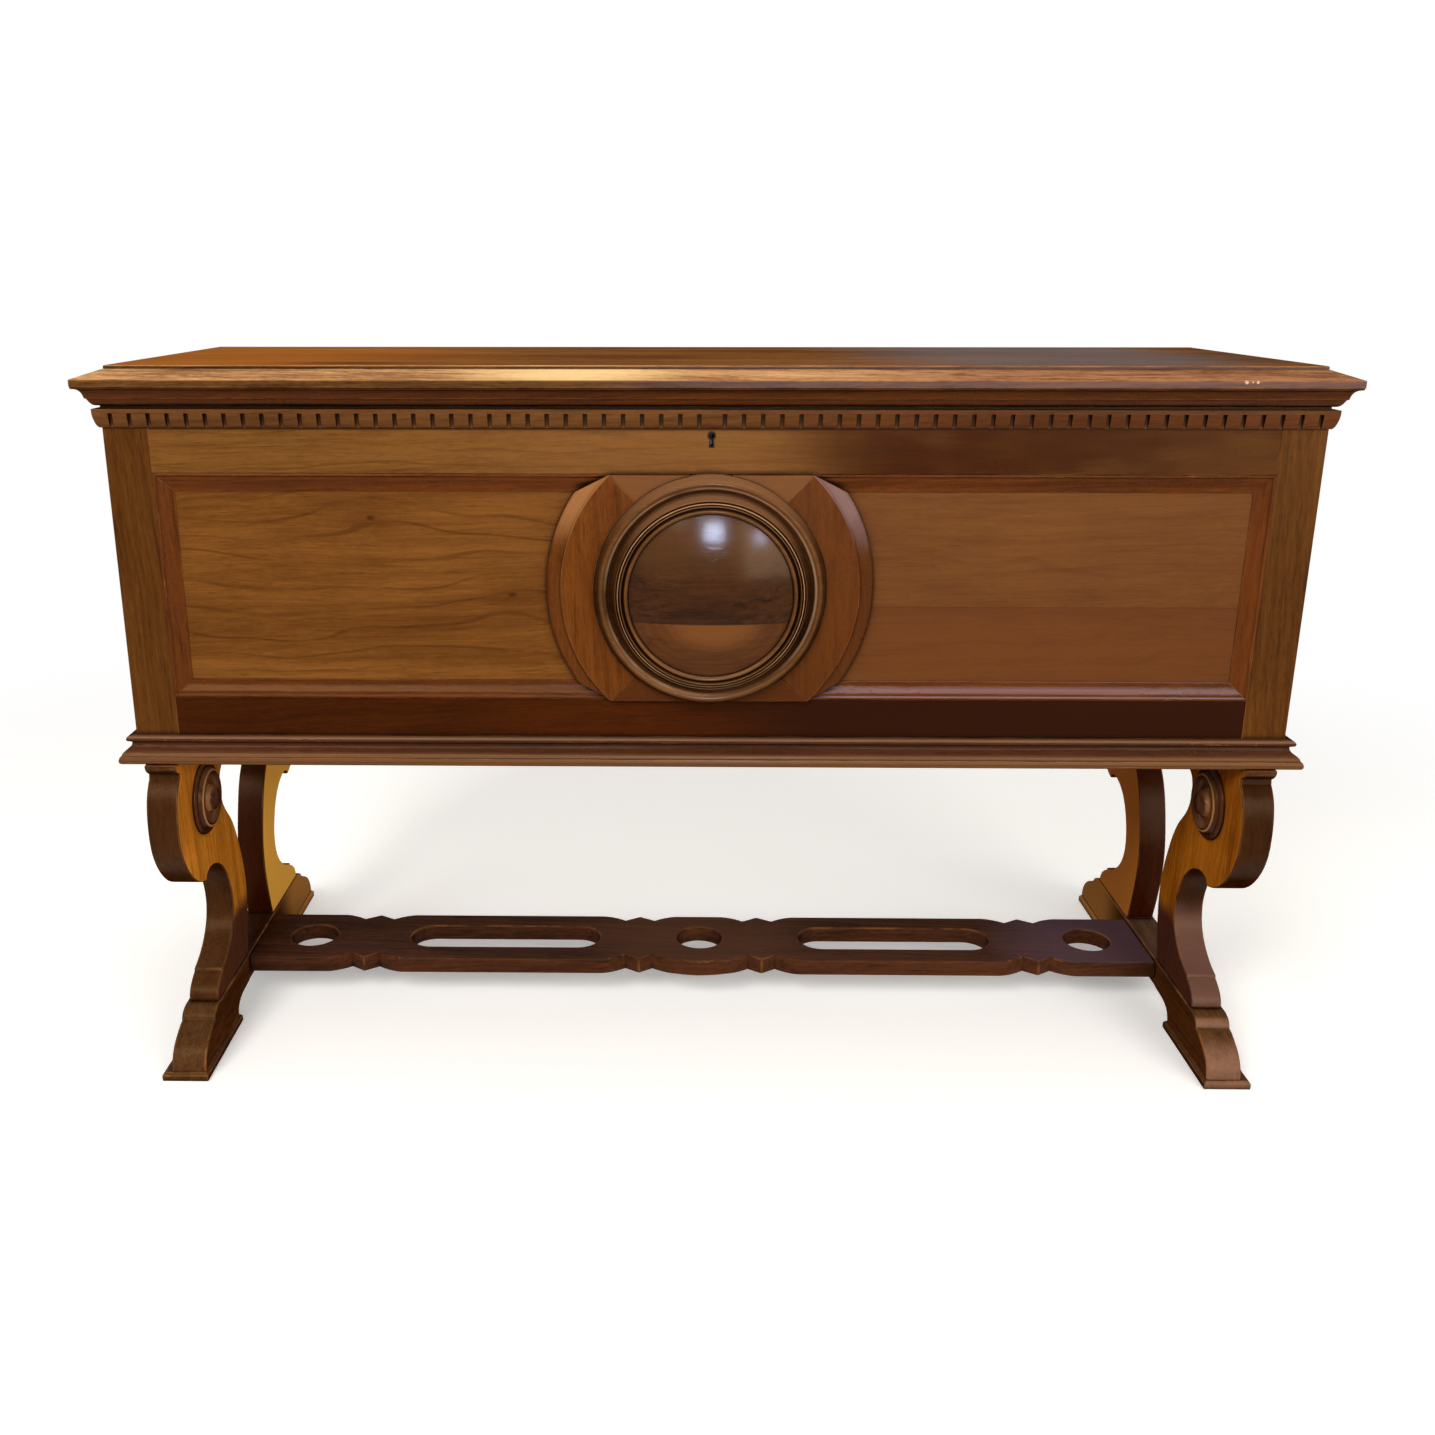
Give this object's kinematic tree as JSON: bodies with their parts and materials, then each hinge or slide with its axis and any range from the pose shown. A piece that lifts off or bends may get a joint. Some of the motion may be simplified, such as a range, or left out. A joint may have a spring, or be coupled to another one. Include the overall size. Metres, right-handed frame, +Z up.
{
  "type": "cassone chest",
  "caption": "Long walnut chest with a panelled front, round turned boss, dentil band and hinged lid, on scrolled trestle ends joined by a pierced stretcher.",
  "frame": {"origin": "on the floor, under the middle of the overall box", "axes": "+X along the chest's length to the viewer's right, +Y from the front to the back, +Z up"},
  "size_m": [1.52, 0.615, 0.953],
  "materials": {
    "walnut_lid": "satin varnish",
    "walnut_frame": "satin varnish",
    "walnut_panel": "satin varnish",
    "walnut_moulding": "satin varnish",
    "walnut_turned": "gloss varnish",
    "walnut_stand": "satin varnish",
    "secondary_wood": "waxed",
    "aged_brass": "tarnished",
    "steel": "dull"
  },
  "bodies": {
    "root": {"back_frame": "secondary_wood", "back_panels": "secondary_wood", "base_moulding_back": "secondary_wood", "base_moulding_front": "walnut_moulding", "base_moulding_left": "walnut_moulding", "base_moulding_right": "walnut_moulding", "bottom_board": "secondary_wood", "bottom_cleats": "secondary_wood", "centre_board": "walnut_panel", "centre_boss": "walnut_turned", "corner_blocks": "walnut_frame", "dentil_band_front": "walnut_moulding", "dentil_band_left": "walnut_moulding", "dentil_band_right": "walnut_moulding", "foot_left": "walnut_stand", "foot_pads": "walnut_stand", "foot_right": "walnut_stand", "front_panel_left": "walnut_panel", "front_panel_right": "walnut_panel", "front_rail_bottom": "walnut_frame", "front_rail_top": "walnut_frame", "front_stile_left": "walnut_frame", "front_stile_right": "walnut_frame", "hinge_case_leaves": "aged_brass", "hinge_case_screws": "steel", "hinge_pins": "steel", "keyhole_escutcheon": "aged_brass", "leg_back_left": "walnut_stand", "leg_back_right": "walnut_stand", "leg_front_left": "walnut_stand", "leg_front_right": "walnut_stand", "lock_case": "steel", "panel_moulding_left": "walnut_moulding", "panel_moulding_right": "walnut_moulding", "ring_moulding": "walnut_turned", "rosettes_back_left": "walnut_turned", "rosettes_back_right": "walnut_turned", "rosettes_front_left": "walnut_turned", "rosettes_front_right": "walnut_turned", "side_frame_left": "walnut_frame", "side_frame_right": "walnut_frame", "side_moulding_left": "walnut_moulding", "side_moulding_right": "walnut_moulding", "side_panel_left": "walnut_panel", "side_panel_right": "walnut_panel", "stretcher": "walnut_stand", "trestle_bearer_left": "walnut_stand", "trestle_bearer_right": "walnut_stand", "wing_left": "walnut_frame", "wing_right": "walnut_frame"},
    "lid": {"lid_board": "walnut_lid", "lid_cornice_front": "walnut_moulding", "lid_cornice_left": "walnut_moulding", "lid_cornice_right": "walnut_moulding", "lid_rail_back": "secondary_wood", "lid_battens": "secondary_wood", "lid_strike": "steel", "hinge_lid_leaves": "aged_brass", "hinge_lid_screws": "steel"},
    "lock_bolt": {"lock_bolt": "steel"}
  },
  "joints": [
    {"name": "lid_hinge", "type": "hinge", "parent": "root", "child": "lid", "pos_m": [0, 0.277, 0.90615], "axis": [-1, 0, 0], "range_deg": [0, 100]},
    {"name": "bolt_throw", "type": "slide", "parent": "root", "child": "lock_bolt", "axis": [1, 0, 0], "range_m": [0, 0.012]}
  ]
}
